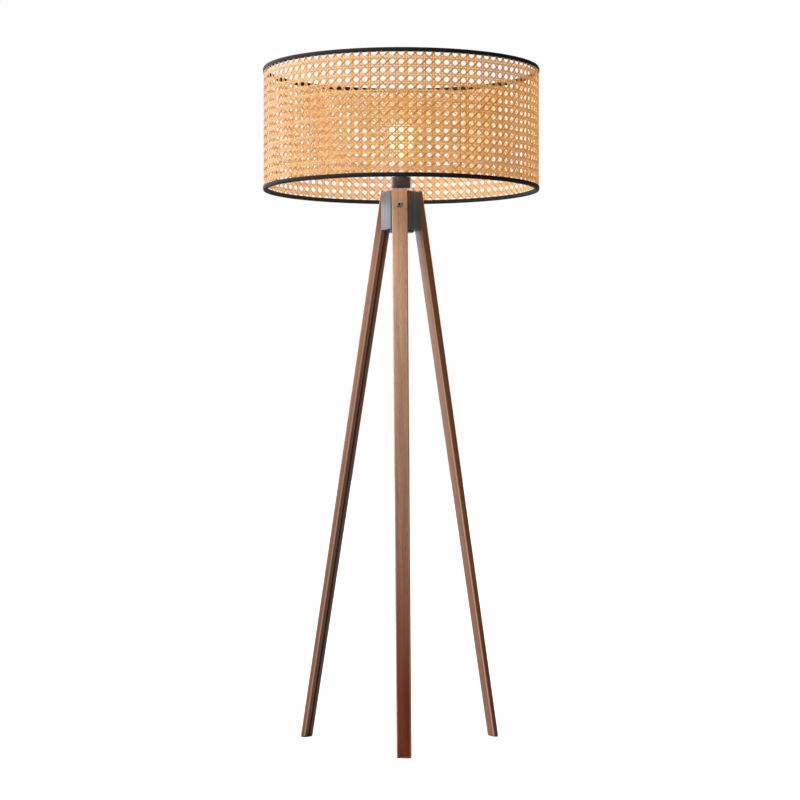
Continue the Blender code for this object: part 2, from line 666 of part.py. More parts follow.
def main():
    for obj in list(bpy.data.objects):
        bpy.data.objects.remove(obj, do_unlink=True)
    wood = material("walnut_stained_wood", (150, 103, 74), 0.45)
    charcoal = material("charcoal_paint", (72, 72, 74), 0.40, 0.3)
    black = material("black_plastic", (30, 30, 32), 0.45)
    white = material("white_plastic", (230, 228, 222), 0.40)
    steel = material("zinc_plated_steel", (175, 178, 180), 0.30, 1.0)
    brass = material("brass", (205, 165, 90), 0.30, 1.0)
    ceramic = material("white_ceramic", (232, 228, 218), 0.35)
    rubber = material("black_rubber", (22, 22, 23), 0.60)
    felt = material("brown_felt", (128, 72, 48), 0.95)
    cane = material("honey_cane", (232, 184, 120), 0.55)
    binding = material("black_binding", (26, 27, 30), 0.75)
    coated = material("white_coated_wire", (238, 236, 230), 0.40)
    opal = material("opal_glass", (250, 240, 220), 0.35)
    make_hub(charcoal)
    make_hub_cap(black)
    for name in LEG_NAMES:
        make_leg(name, wood)
        make_pad(name, felt)
        make_fixing(name, steel, brass)
    make_stem(steel)
    make_holder(black, white, ceramic, brass)
    make_ring_nut(white)
    make_bulb(opal, steel, black, ceramic)
    make_shade(cane, binding, coated)
    make_lead(rubber)


main()
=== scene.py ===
"""Looks of the tripod floor lamp: cane drum shade, lampholder, charcoal hub and walnut legs.

Metres, +Z up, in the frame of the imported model. The main sizes and places are read from that model.
"""

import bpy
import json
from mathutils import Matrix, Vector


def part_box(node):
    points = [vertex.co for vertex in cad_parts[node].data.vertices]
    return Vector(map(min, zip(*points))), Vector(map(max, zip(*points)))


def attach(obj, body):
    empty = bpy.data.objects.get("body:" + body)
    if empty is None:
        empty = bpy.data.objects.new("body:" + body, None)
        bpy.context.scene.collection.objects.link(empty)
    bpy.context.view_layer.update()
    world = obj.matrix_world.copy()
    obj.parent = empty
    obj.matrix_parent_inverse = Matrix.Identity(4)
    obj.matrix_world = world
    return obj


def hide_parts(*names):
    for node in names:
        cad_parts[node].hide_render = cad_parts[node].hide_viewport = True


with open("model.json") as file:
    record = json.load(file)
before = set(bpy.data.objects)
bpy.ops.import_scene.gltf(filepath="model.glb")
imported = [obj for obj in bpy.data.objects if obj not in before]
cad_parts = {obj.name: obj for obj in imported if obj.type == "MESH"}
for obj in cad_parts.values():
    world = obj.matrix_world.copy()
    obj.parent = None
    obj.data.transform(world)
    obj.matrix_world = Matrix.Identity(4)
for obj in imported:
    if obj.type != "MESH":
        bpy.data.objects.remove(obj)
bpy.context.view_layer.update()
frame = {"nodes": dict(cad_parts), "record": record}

import functools
import json
import math
from types import SimpleNamespace

import bmesh
import bpy
import numpy as np
from mathutils import Matrix, Vector

LEGS = ("front", "back_right", "back_left")
CLEAR = 0.0003
SHARP_DEGREES = 40.0

# Camera
CAMERA_TURN = math.radians(4.5)
CAMERA_DISTANCE = 5.218
CAMERA_HEIGHT = 0.670
CAMERA_LENS = 108.0
CAMERA_SHIFT = (-0.0015, 0.0438)

# Studio: the direction of its large soft window, and its lights
WINDOW = (-0.76, 0.63, 0.12)
WINDOW_EDGES = (0.2, 0.9)
WINDOW_STRENGTHS = (0.07, 3.6)
KEY_SUN = 2.55
TOP_SUN = 0.6
FLOOR_TONE = 0.36
FLOOR_GLOW = (0.03, 0.82)

# Cane webbing: counts and places in cells of the weave
CELLS_ROUND = 99
HOLE_ROWS = 14
FIRST_HOLE_BELOW_TRIM = 0.18
CROSSING_CELLS = 0.12
SHORTEST_STEP = 0.04

# Cane webbing: sizes in metres
PAIR_SPREAD = 0.00215
UPRIGHT_WIDTH = 0.0030
DIAGONAL_WIDTH = 0.0031
STRAND_THICKNESS = 0.00042
WEAVE_DEPTH = 0.00026
DIAGONAL_DEPTH = 0.00085
WOBBLE = 0.00022
TRIM_COVER = 0.0015

# Lamp light in the bulb and through the cane; the cane's glow is painted light from the cane itself
BULB_GLOW = 1.0
BULB_WATTS = 40.0
BULB_COLOR = (1.0, 0.97, 0.84)
BULB_LIGHT_RADIUS = 0.0315
BULB_LIGHT_BELOW_TOP = 0.030
CANE_SHOWS_THROUGH = 0.32
CANE_PAINTED_GLOW = 0.54

# Binding
BINDING_BULGE = 0.0009
BINDING_WALL = 0.0007
BINDING_INSIDE = 0.0004
BINDING_ROLL = 0.0008

# Legs
ARRIS = 0.0030
# Legs' rounded arrises: a lighter tone and how strongly it is mixed in, a painted highlight along every
# arris
ARRIS_HIGHLIGHT_TONE = (214, 168, 138)
ARRIS_HIGHLIGHT_STRENGTH = 0.55
GRAIN_SHIFT = 0.9
SAWN_EDGE = 0.0006
GROOVE_WIDTH = 0.0062
GROOVE_DEPTH = 0.0068
GROOVE_TOP = -0.012

# Leg bolts
BOLT_SHANK = 0.0030
SOCKET_RADIUS = 0.0026
SOCKET_RIM = 0.0028
SOCKET_DEPTH = 0.0027

# Hub
HUB_EDGE = 0.0038
HUB_FOOT_EDGE = 0.0010
HUB_ROUND = 0.0020
HUB_SLOT = (-0.075, 0.060)
CAVITY_RADIUS = 0.0205
CAVITY_TOP = 1.180
STEM_HOLE = 0.0053
CAP_EDGE = 0.0022

# Lampholder and bulb
HOLDER_WALL = 0.0022
HOLDER_FLOOR = 0.0030
BULB_SHOULDER = 0.016
CAP_INSIDE = 0.0108
CAP_CONTACT = 0.0114
CAP_SCREW_LENGTH = 0.0144
SCREW_DEPTH = 0.0008

# Wire, threads, grip and lead
ARM_THICKNESS = 0.0040
ARM_BEND = 0.012
THREAD_PITCH = 0.0025
STEM_PITCH = 0.0010
GRIP_TEETH = 24
LEAD_THICKNESS = 0.0056
LEAD_TURN = 1.165
LEAD_BEND = 0.026
LEAD_SWING = math.radians(80.0)
OUTLET_LENGTH = 0.014

random = np.random.default_rng(20)
nodes = frame["nodes"]


# ---- what the frame says

def vertices_of(mesh):
    return np.array([vertex.co for vertex in mesh.vertices])


@functools.cache
def points_of(node):
    return vertices_of(nodes[node].data)


def points_in(place, node):
    """A node's points in the axes of a place."""
    into = np.array(place.inverted())
    return points_of(node) @ into[:3, :3].T + into[:3, 3]


def reach_of(points):
    """Distances of points from the Z axis."""
    return np.hypot(points[:, 0], points[:, 1])


def middle(node):
    low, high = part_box(node)
    return (low + high) / 2


def outer_radius(node):
    """The outer radius of a round node that stands on the stem axis."""
    return float(reach_of(points_of(node)).max())


def inner_radius(node):
    return float(reach_of(points_of(node)).min())


def heights(node):
    low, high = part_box(node)
    return low.z, high.z


def mount(name):
    for entry in frame["record"]["mounts"]:
        if entry["name"] == name:
            return Vector(entry["pos_m"])
    raise ValueError(name)


# ---- mesh helpers

def skin(rings, loop=False, strand_uv=None):
    """A mesh over rows of equal rings. loop joins the last ring to the first, or both ends are capped.

    rings has the shape (strands, rings, sides, 3). strand_uv gives each strand's places along it.
    """
    rings = np.asarray(rings, dtype=np.float64)
    if rings.ndim == 3:
        rings = rings[None]
    strands, count, sides, _ = rings.shape
    index = np.arange(strands * count * sides).reshape(strands, count, sides)
    ahead = np.roll(index, -1, axis=1)
    if not loop:
        index_low, index_high = index[:, :-1], ahead[:, :-1]
    else:
        index_low, index_high = index, ahead
    quads = np.stack([index_low, np.roll(index_low, -1, axis=2),
                      np.roll(index_high, -1, axis=2), index_high], axis=-1).reshape(-1, 4)
    corners = quads.ravel()
    starts = np.arange(len(quads)) * 4
    if not loop:
        caps = np.concatenate([index[:, 0, ::-1], index[:, -1]]).reshape(-1, sides)
        starts = np.concatenate([starts, len(corners) + np.arange(len(caps)) * sides])
        corners = np.concatenate([corners, caps.ravel()])
    mesh = bpy.data.meshes.new("skin")
    mesh.vertices.add(strands * count * sides)
    mesh.vertices.foreach_set("co", rings.ravel())
    mesh.loops.add(len(corners))
    mesh.loops.foreach_set("vertex_index", corners.astype(np.int32))
    mesh.polygons.add(len(starts))
    mesh.polygons.foreach_set("loop_start", starts.astype(np.int32))
    mesh.update(calc_edges=True)
    mesh.validate()
    if strand_uv is not None:
        write_strand_uv(mesh, corners, sides, count, strand_uv)
    return mesh


def write_strand_uv(mesh, corners, sides, count, along):
    """U runs round a strand and V along it, in metres, each strand from a start of its own."""
    side = corners % sides
    place = (corners // sides) % count
    strand = corners // (sides * count)
    wide = np.concatenate([along, along[:, -1:] + np.diff(along[:, -2:])], axis=1)
    uv = np.empty((len(corners), 2))
    uv[:, 0] = side / sides
    uv[:, 1] = wide[strand, place]
    layer = mesh.uv_layers.new(name="strand")
    layer.data.foreach_set("uv", uv.ravel().astype(np.float32))


def facing_out(mesh, sharp=SHARP_DEGREES):
    """Turn a closed mesh's faces outward, and shade it smooth up to a sharp angle in degrees."""
    bm = bmesh.new()
    bm.from_mesh(mesh)
    bmesh.ops.recalc_face_normals(bm, faces=bm.faces)
    bm.to_mesh(mesh)
    bm.free()
    mesh.shade_smooth()
    mesh.set_sharp_from_angle(angle=math.radians(sharp))
    return mesh


def piece(name, mesh, finish, body, slot, *stands_for, sharp=SHARP_DEGREES):
    """Link a mesh as a piece of the lamp that rides on a body and stands for CAD nodes."""
    facing_out(mesh, sharp)
    mesh.name = name
    mesh.materials.append(finish)
    obj = bpy.data.objects.new(name, mesh)
    bpy.context.scene.collection.objects.link(obj)
    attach(obj, body)
    if stands_for:
        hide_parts(*stands_for)
    return obj


def rounded(corners, radius, steps=5):
    """A polygon's outline with an arc at each corner. radius is one number or one for each corner."""
    radii = radius if isinstance(radius, (list, tuple)) else [radius] * len(corners)
    outline = []
    for index, corner in enumerate(corners):
        corner = Vector(corner)
        before = (Vector(corners[index - 1]) - corner).normalized()
        after = (Vector(corners[(index + 1) % len(corners)]) - corner).normalized()
        half = before.angle(after) / 2.0
        centre = corner + (before + after).normalized() * radii[index] / math.sin(half)
        start = corner + before * radii[index] / math.tan(half) - centre
        sweep = (math.pi - 2.0 * half) * (1.0 if before.cross(after) < 0.0 else -1.0)
        for step in range(steps + 1):
            outline.append(centre + Matrix.Rotation(sweep * step / steps, 2) @ start)
    return outline


def quarter(steps):
    """Sine and cosine at even steps through a quarter turn, with both ends."""
    angles = [math.pi / 2 * step / steps for step in range(steps + 1)]
    return [(math.sin(angle), math.cos(angle)) for angle in angles]


def ring_outline(bore, radius, low, high, edge, steps=3):
    """The closed profile of a plain ring with rounded edges."""
    return rounded([(bore, low), (radius, low), (radius, high), (bore, high)], edge, steps)


def mark_points(mesh, name, values):
    """Store a number for each vertex as an attribute that a finish reads."""
    mesh.attributes.new(name, "FLOAT", "POINT").data.foreach_set("value", values.astype(np.float32))


def turned(profile, segments=96, ripple=None, place=None):
    """A ring-like solid turned about the stem axis from a closed profile of (radius, height)."""
    profile = np.array([(point[0], point[1]) for point in profile])
    angles = np.arange(segments) * 2.0 * math.pi / segments
    radius = np.repeat(profile[None, :, 0], segments, axis=0)
    height = np.repeat(profile[None, :, 1], segments, axis=0)
    if ripple is not None:
        radius = radius + ripple(angles[:, None], profile[None, :, 0])
    rings = np.stack([radius * np.cos(angles)[:, None], radius * np.sin(angles)[:, None], height],
                     axis=-1)
    return placed(skin(rings, loop=True), place)


def domed(profile, segments=96):
    """A solid turned about the stem axis, with a flat cap over each end of its profile."""
    angles = np.arange(segments) * 2.0 * math.pi / segments
    rings = [[(radius * math.cos(a), radius * math.sin(a), height) for a in angles]
             for radius, height in profile]
    return skin(rings)


def placed(mesh, place):
    if place is not None:
        mesh.transform(place)
    return mesh


def swept(path, radius, sides=16):
    """A round bar along a path of points. Its sections don't twist."""
    rings = []
    across = None
    for index, point in enumerate(path):
        ahead = (path[min(index + 1, len(path) - 1)] - path[max(index - 1, 0)]).normalized()
        if across is None:
            across = ahead.orthogonal().normalized()
        across = (across - ahead * across.dot(ahead)).normalized()
        sideways = ahead.cross(across)
        ring = []
        for step in range(sides):
            angle = 2.0 * math.pi * step / sides
            ring.append(point + radius * (math.cos(angle) * across + math.sin(angle) * sideways))
        rings.append(ring)
    return skin(rings)


def carved(mesh, cutters, bevel=0.0):
    """The mesh with closed cutters taken out, and its sharp edges then rounded."""
    body = bpy.data.objects.new("carved", mesh)
    bpy.context.scene.collection.objects.link(body)
    tools = []
    for cutter in cutters:
        facing_out(cutter)
        tool = bpy.data.objects.new("tool", cutter)
        bpy.context.scene.collection.objects.link(tool)
        step = body.modifiers.new("cut", "BOOLEAN")
        step.solver = "EXACT"
        step.object = tool
        tools.append(tool)
    if bevel:
        step = body.modifiers.new("round", "BEVEL")
        step.width = bevel
        step.segments = 3
        step.limit_method = "ANGLE"
        step.angle_limit = math.radians(SHARP_DEGREES)
        step.use_clamp_overlap = True
    bpy.context.view_layer.update()
    evaluated = body.evaluated_get(bpy.context.evaluated_depsgraph_get())
    made = bpy.data.meshes.new_from_object(evaluated)
    for obj in [body, *tools]:
        bpy.data.objects.remove(obj)
    return made


# ---- material helpers

def linear(red, green, blue):
    """An 8-bit sRGB colour as linear values."""
    return (*(((value / 255.0 + 0.055) / 1.055) ** 2.4 for value in (red, green, blue)), 1.0)


class Tree:
    """A node tree, with short calls to add and link its nodes."""

    def __init__(self, tree):
        self.tree = tree

    def add(self, kind, inputs=None, **settings):
        made = self.tree.nodes.new("ShaderNode" + kind)
        for key, value in settings.items():
            setattr(made, key, value)
        for key, value in (inputs or {}).items():
            self.set(made.inputs[key], value)
        return made

    def set(self, socket, value):
        if isinstance(value, bpy.types.NodeSocket):
            self.tree.links.new(value, socket)
        else:
            socket.default_value = value


class Finish(Tree):
    """A material's node tree, with a call for each kind of node that the finishes share."""

    def __init__(self, name):
        self.material = bpy.data.materials.new(name)
        self.material.use_nodes = True
        super().__init__(self.material.node_tree)
        self.shader = self.tree.nodes["Principled BSDF"]

    def noise(self, place, scale, detail=3.0, roughness=0.5):
        return self.add("TexNoise", {"Vector": place, "Scale": scale, "Detail": detail,
                                     "Roughness": roughness}).outputs["Fac"]

    def stretch(self, place, scale):
        return self.add("Mapping", {"Vector": place, "Scale": scale}).outputs[0]

    def own_place(self):
        return self.add("TexCoord").outputs["Object"]

    def attribute(self, name, output="Fac"):
        return self.add("Attribute", attribute_name=name).outputs[output]

    def ramp(self, value, *stops):
        made = self.add("ValToRGB", {0: value})
        elements = made.color_ramp.elements
        while len(elements) < len(stops):
            elements.new(0.5)
        for element, (place, color) in zip(elements, stops):
            element.position = place
            element.color = color
        return made.outputs["Color"]

    def math(self, operation, first, second=0.0):
        return self.add("Math", {0: first, 1: second}, operation=operation).outputs[0]

    def range(self, value, low, high, to_low, to_high):
        return self.add("MapRange", {0: value, 1: low, 2: high, 3: to_low, 4: to_high}).outputs[0]

    def mix(self, share, first, second):
        made = self.add("Mix", data_type="RGBA")
        self.set(made.inputs["Factor"], share)
        self.set(made.inputs[6], first)
        self.set(made.inputs[7], second)
        return made.outputs[2]

    def bump(self, height, distance, strength):
        return self.add("Bump", {"Height": height, "Distance": distance,
                                 "Strength": strength}).outputs[0]

    def done(self, **sockets):
        for key, value in sockets.items():
            self.set(self.shader.inputs[key.replace("_", " ")], value)
        return self.material


# ---- materials

def cane_finish(name, edge, edge_shade_start):
    """Split cane: each strand its own tone of honey, with fine fibres, painted shade along its edges and
    a painted glow.
    """
    finish = Finish(name)
    island = finish.add("NewGeometry").outputs["Random Per Island"]
    along = finish.add("UVMap", uv_map="strand").outputs[0]
    across = finish.add("SeparateXYZ", {0: along}).outputs[0]
    fibres = finish.noise(finish.stretch(along, (9.0, 40.0, 1.0)), 1.0, 2.0)
    patches = finish.noise(finish.stretch(along, (0.6, 9.0, 1.0)), 1.0, 2.0)
    base = finish.ramp(island, (0.0, linear(220, 170, 92)), (0.5, linear(242, 208, 134)),
                       (1.0, linear(252, 238, 188)))
    base = finish.mix(finish.range(patches, 0.50, 0.72, 0.0, 0.75), base, linear(206, 140, 56))
    base = finish.mix(finish.range(fibres, 0.4, 0.8, 0.0, 0.4), base, linear(190, 124, 46))
    from_side = finish.math("ABSOLUTE", finish.math("SUBTRACT", across, 0.5))
    from_middle = finish.math("ABSOLUTE", finish.math("SUBTRACT", from_side, 0.25))
    # Painted shade: each strand darkens towards its edges, like the shadows between strands.
    base = finish.mix(finish.range(from_middle, edge_shade_start, 0.10, 0.0, edge), base,
                      linear(118, 62, 16))
    rough = finish.range(fibres, 0.3, 0.8, 0.38, 0.62)
    # Painted light: the cane glows with its own colour as if lit through by the bulb, and its diffuse
    # colour is dulled to balance that glow.
    dull = finish.mix(0.22, base, linear(120, 84, 40))
    material = finish.done(Base_Color=dull, Roughness=rough, Emission_Color=base,
                           Emission_Strength=CANE_PAINTED_GLOW, Normal=finish.bump(fibres, 0.00008, 0.6))
    glow = finish.add("BsdfTranslucent", {"Color": linear(255, 206, 110)})
    both = finish.add("MixShader", {0: CANE_SHOWS_THROUGH, 1: finish.shader.outputs[0],
                                    2: glow.outputs[0]})
    output = finish.tree.nodes["Material Output"]
    finish.set(output.inputs["Surface"], both.outputs[0])
    return material


def binding_finish():
    """Black woven tape with a faint diagonal rib."""
    finish = Finish("black_tape")
    place = finish.own_place()
    rib = finish.add("TexWave", {"Vector": place, "Scale": 900.0, "Distortion": 1.5, "Detail": 1.0},
                     wave_type="BANDS", bands_direction="DIAGONAL").outputs["Fac"]
    wear_and_highlight = finish.noise(place, 60.0)
    base = finish.mix(rib, linear(7, 8, 10), linear(16, 17, 21))
    base = finish.mix(finish.range(wear_and_highlight, 0.45, 0.8, 0.0, 0.5), base, linear(24, 26, 31))
    return finish.done(Base_Color=base, Roughness=finish.range(rib, 0.0, 1.0, 0.6, 0.8),
                       Specular_IOR_Level=0.3, Normal=finish.bump(rib, 0.00012, 0.6))


def wood_finish(name, sheen_top_tones, low_tones, coat):
    """Walnut stain over straight grain that runs along the leg, lighter and paler towards the top as a
    painted sheen, darker towards the foot, with a painted highlight on its rounded arrises.
    """
    finish = Finish(name)
    place = finish.attribute("leg_place", "Vector")
    warp = finish.noise(finish.stretch(place, (20.0, 20.0, 3.0)), 1.0, 2.0)
    shifted = finish.add("VectorMath", {0: place, 1: finish.add(
        "CombineXYZ", {0: finish.math("MULTIPLY", warp, 0.010)}).outputs[0]},
        operation="ADD").outputs[0]
    broad = finish.noise(finish.stretch(shifted, (160.0, 120.0, 3.0)), 1.0, 3.0)
    fine = finish.noise(finish.stretch(shifted, (1100.0, 900.0, 9.0)), 1.0, 2.0)
    pores = finish.noise(finish.stretch(shifted, (2600.0, 2200.0, 60.0)), 1.0, 1.0)
    along = finish.add("SeparateXYZ", {0: place}).outputs[2]
    # Painted sheen: the top tones are lighter and paler than the foot tones, fading down the leg.
    top = finish.ramp(broad, (0.25, linear(*sheen_top_tones[0])), (0.75, linear(*sheen_top_tones[1])))
    low = finish.ramp(broad, (0.25, linear(*low_tones[0])), (0.75, linear(*low_tones[1])))
    base = finish.mix(finish.range(along, -1.05, 0.0, 0.0, 1.0), low, top)
    base = finish.mix(finish.range(fine, 0.5, 0.75, 0.0, 0.45), base, linear(84, 48, 34))
    base = finish.mix(finish.range(pores, 0.62, 0.72, 0.0, 0.6), base, linear(58, 32, 22))
    # Painted highlight: the rounded arrises are mixed towards a lighter tone.
    wear_and_highlight = finish.math("MULTIPLY", finish.attribute("arris"), ARRIS_HIGHLIGHT_STRENGTH)
    base = finish.mix(wear_and_highlight, base, linear(*ARRIS_HIGHLIGHT_TONE))
    height = finish.math("SUBTRACT", fine, finish.range(pores, 0.6, 0.75, 0.0, 1.0))
    return finish.done(Base_Color=base, Roughness=finish.range(fine, 0.3, 0.8, 0.34, 0.5),
                       Specular_IOR_Level=0.3, Coat_Weight=coat, Coat_Roughness=0.3,
                       Normal=finish.bump(height, 0.00006, 0.5))


def painted_finish(name, dark, light, roughness, metallic=0.0):
    """Satin paint with faint upright streaks and a fine texture."""
    finish = Finish(name)
    place = finish.own_place()
    streaks = finish.noise(finish.stretch(place, (500.0, 500.0, 6.0)), 1.0, 2.0)
    grain = finish.noise(place, 2500.0, 1.0)
    base = finish.ramp(streaks, (0.3, linear(*dark)), (0.75, linear(*light)))
    return finish.done(Base_Color=base, Metallic=metallic,
                       Roughness=finish.range(streaks, 0.3, 0.7, roughness - 0.05, roughness + 0.07),
                       Normal=finish.bump(grain, 0.00004, 0.4))


def moulded_finish(name, color, light, roughness, glow=0.0):
    """A moulded or sheathed surface: fine grain, slightly uneven colour. glow adds emission: painted
    light on a part that is no lamp.
    """
    finish = Finish(name)
    place = finish.own_place()
    grain = finish.noise(place, 1800.0, 1.0)
    cloud = finish.noise(place, 90.0)
    base = finish.ramp(cloud, (0.3, linear(*color)), (0.8, linear(*light)))
    return finish.done(Base_Color=base, Roughness=finish.range(cloud, 0.3, 0.7, roughness - 0.06,
                                                              roughness + 0.06),
                       Emission_Color=base, Emission_Strength=glow,
                       Normal=finish.bump(grain, 0.00004, 0.5))


def metal_finish(name, color, light, roughness):
    """Bare or plated metal with fine turning marks and a clouded surface, with painted shade: near black
    inside a bolt's socket.
    """
    finish = Finish(name)
    place = finish.own_place()
    marks = finish.noise(finish.stretch(place, (300.0, 300.0, 4000.0)), 1.0, 1.0)
    cloud = finish.noise(place, 160.0)
    base = finish.ramp(cloud, (0.3, linear(*color)), (0.7, linear(*light)))
    # Painted shade: inside the socket the metal is coloured near black.
    base = finish.mix(finish.attribute("socket_shade"), base, linear(14, 14, 15))
    return finish.done(Base_Color=base, Metallic=1.0,
                       Roughness=finish.range(cloud, 0.3, 0.7, roughness - 0.08, roughness + 0.1),
                       Normal=finish.bump(marks, 0.00002, 0.4))


def felt_finish():
    finish = Finish("brown_felt")
    place = finish.own_place()
    fuzz = finish.noise(place, 1500.0, 3.0, 0.7)
    base = finish.ramp(fuzz, (0.3, linear(92, 48, 32)), (0.75, linear(150, 92, 66)))
    return finish.done(Base_Color=base, Roughness=0.95, Sheen_Weight=0.3,
                       Normal=finish.bump(fuzz, 0.0002, 0.8))


def opal_finish():
    """Lit opal glass, warmer and dimmer towards its neck."""
    finish = Finish("lit_opal_glass")
    place = finish.add("SeparateXYZ", {0: finish.own_place()}).outputs[2]
    low, high = heights("bulb_glass")
    lit = finish.range(place, low, high, 0.15, 1.0)
    cloud = finish.noise(finish.own_place(), 40.0)
    base = finish.ramp(cloud, (0.2, linear(244, 232, 208)), (0.8, linear(255, 246, 226)))
    glow = finish.mix(lit, linear(255, 214, 150), linear(255, 248, 212))
    return finish.done(Base_Color=base, Roughness=0.3, Emission_Color=glow, Emission_Strength=BULB_GLOW)


# ---- shade

def strand_rings(angle, height, depth, slope, width, radius):
    """Closed ribbon sections along strands on a drum, from arrays of (strands, places).

    slope is the strand's direction as (round, up). width is each strand's own.
    """
    outline = np.array([(-1.0, 0.0), (-0.6, -1.0), (0.6, -1.0), (1.0, 0.0), (0.5, 0.9), (-0.5, 0.9)])
    wide = outline[:, 0] * width[:, None, None] / 2.0
    thick = outline[:, 1] * STRAND_THICKNESS / 2.0
    round_step, up_step = slope
    turn = angle[:, :, None] + wide * up_step / radius
    rise = height[:, :, None] - wide * round_step
    out = radius + depth[:, :, None] + thick[None, None, :]
    return np.stack([out * np.cos(turn), out * np.sin(turn), rise], axis=-1)


def wobble(places, strands):
    """A slow sideways drift of each strand, in metres."""
    phase = random.uniform(0.0, 2.0 * math.pi, (3, strands, 1))
    slow = np.sin(places / 3.1 + phase[0]) + np.sin(places / 1.7 + phase[1])
    return WOBBLE * (slow / 2.0 + 0.35 * np.sin(places * 2.3 + phase[2]))


def over_under(place):
    """Through one pair crossing: -1 at its first strand, +1 at its second, 0 between the pairs."""
    near = place - np.round(place)
    wave = np.sin(math.pi / 2.0 * near / CROSSING_CELLS)
    return np.where(np.abs(near) < 2.0 * CROSSING_CELLS, wave, 0.0)


@functools.cache
def weave():
    """Measures of the weave: its cells, its lowest row, and its ends counted in rows from there."""
    low, high = heights("shade_cane")
    trim_low = heights("shade_trim_bottom")[1]
    trim_high = heights("shade_trim_top")[0]
    row = (trim_high - trim_low) / (HOLE_ROWS + FIRST_HOLE_BELOW_TRIM)
    first = trim_low + row / 2.0
    return SimpleNamespace(radius=outer_radius("shade_cane") - 0.0010, row=row, first=first,
                           column=2.0 * math.pi / CELLS_ROUND,
                           bottom=(low + TRIM_COVER - first) / row,
                           top=(high - TRIM_COVER - first) / row)


def places_up(steps):
    """Places along an upward strand, in rows: both ends, and the same steps in every row."""
    start, end = weave().bottom, weave().top
    values = [cell + step for cell in range(math.floor(start) - 1, math.ceil(end) + 2)
              for step in steps]
    inside = [v for v in values if start + SHORTEST_STEP < v < end - SHORTEST_STEP]
    return np.array([start] + inside + [end])[None, :]


def strand_widths(count, width):
    return width * random.uniform(0.93, 1.07, count)


def strand_starts(count):
    """Where along the cane each strand was cut, in metres."""
    return random.uniform(0.0, 50.0, (count, 1))


CROSSING = (-2 * CROSSING_CELLS, -CROSSING_CELLS, 0.0, CROSSING_CELLS, 2 * CROSSING_CELLS)


def make_uprights(finish):
    """Upright strands, two to a column."""
    cell = weave()
    along = places_up(CROSSING)
    side = np.tile([-1.0, 1.0], CELLS_ROUND)[:, None]
    count = len(side)
    angle = np.repeat(np.arange(CELLS_ROUND), 2)[:, None] * cell.column
    angle = angle + (side * PAIR_SPREAD + wobble(along, count)) / cell.radius
    depth = -side * WEAVE_DEPTH * over_under(along)
    height = np.broadcast_to(cell.first + along * cell.row, angle.shape)
    wide = strand_widths(count, UPRIGHT_WIDTH)
    rings = strand_rings(angle, height, depth, (0.0, 1.0), wide, cell.radius)
    mesh = skin(rings, strand_uv=along * cell.row + strand_starts(count))
    piece("cane_uprights", mesh, finish, "shade", "cane", "shade_cane", sharp=75.0)


def make_rows(finish):
    """Level strands, two to a row."""
    cell = weave()
    along = np.array([place + step for place in range(CELLS_ROUND) for step in CROSSING])[None, :]
    side = np.tile([-1.0, 1.0], HOLE_ROWS)[:, None]
    count = len(side)
    height = cell.first + np.repeat(np.arange(HOLE_ROWS), 2)[:, None] * cell.row + side * PAIR_SPREAD
    height = height + WOBBLE * np.sin(along * cell.column * 9.0 + np.arange(count)[:, None] * 1.9)
    angle = np.broadcast_to(along * cell.column, height.shape)
    depth = side * WEAVE_DEPTH * over_under(along)
    wide = strand_widths(count, UPRIGHT_WIDTH)
    rings = strand_rings(angle, height, depth, (1.0, 0.0), wide, cell.radius)
    uv = along * cell.column * cell.radius + strand_starts(count)
    mesh = skin(rings, loop=True, strand_uv=uv)
    piece("cane_rows", mesh, finish, "shade", "cane", sharp=75.0)


def make_diagonals(name, way, finish):
    """Diagonals one way, one to a column, half a column aside so that they pass the holes."""
    cell = weave()
    steps = (-CROSSING_CELLS, 0.0, CROSSING_CELLS, 0.25, 0.5 - CROSSING_CELLS, 0.5,
             0.5 + CROSSING_CELLS, 0.75)
    along = places_up(steps)
    run = cell.column * cell.radius
    length = math.hypot(run, cell.row)
    start = np.arange(CELLS_ROUND)[:, None] + 0.5
    angle = (start + way * along) * cell.column + wobble(along, CELLS_ROUND) / cell.radius
    height = np.broadcast_to(cell.first + along * cell.row, angle.shape)
    depth = np.broadcast_to(-way * DIAGONAL_DEPTH * np.cos(2.0 * math.pi * along), angle.shape)
    wide = strand_widths(CELLS_ROUND, DIAGONAL_WIDTH)
    slope = (way * run / length, cell.row / length)
    rings = strand_rings(angle, height, depth, slope, wide, cell.radius)
    mesh = skin(rings, strand_uv=along * length + strand_starts(CELLS_ROUND))
    piece(name, mesh, finish, "shade", "cane", sharp=75.0)


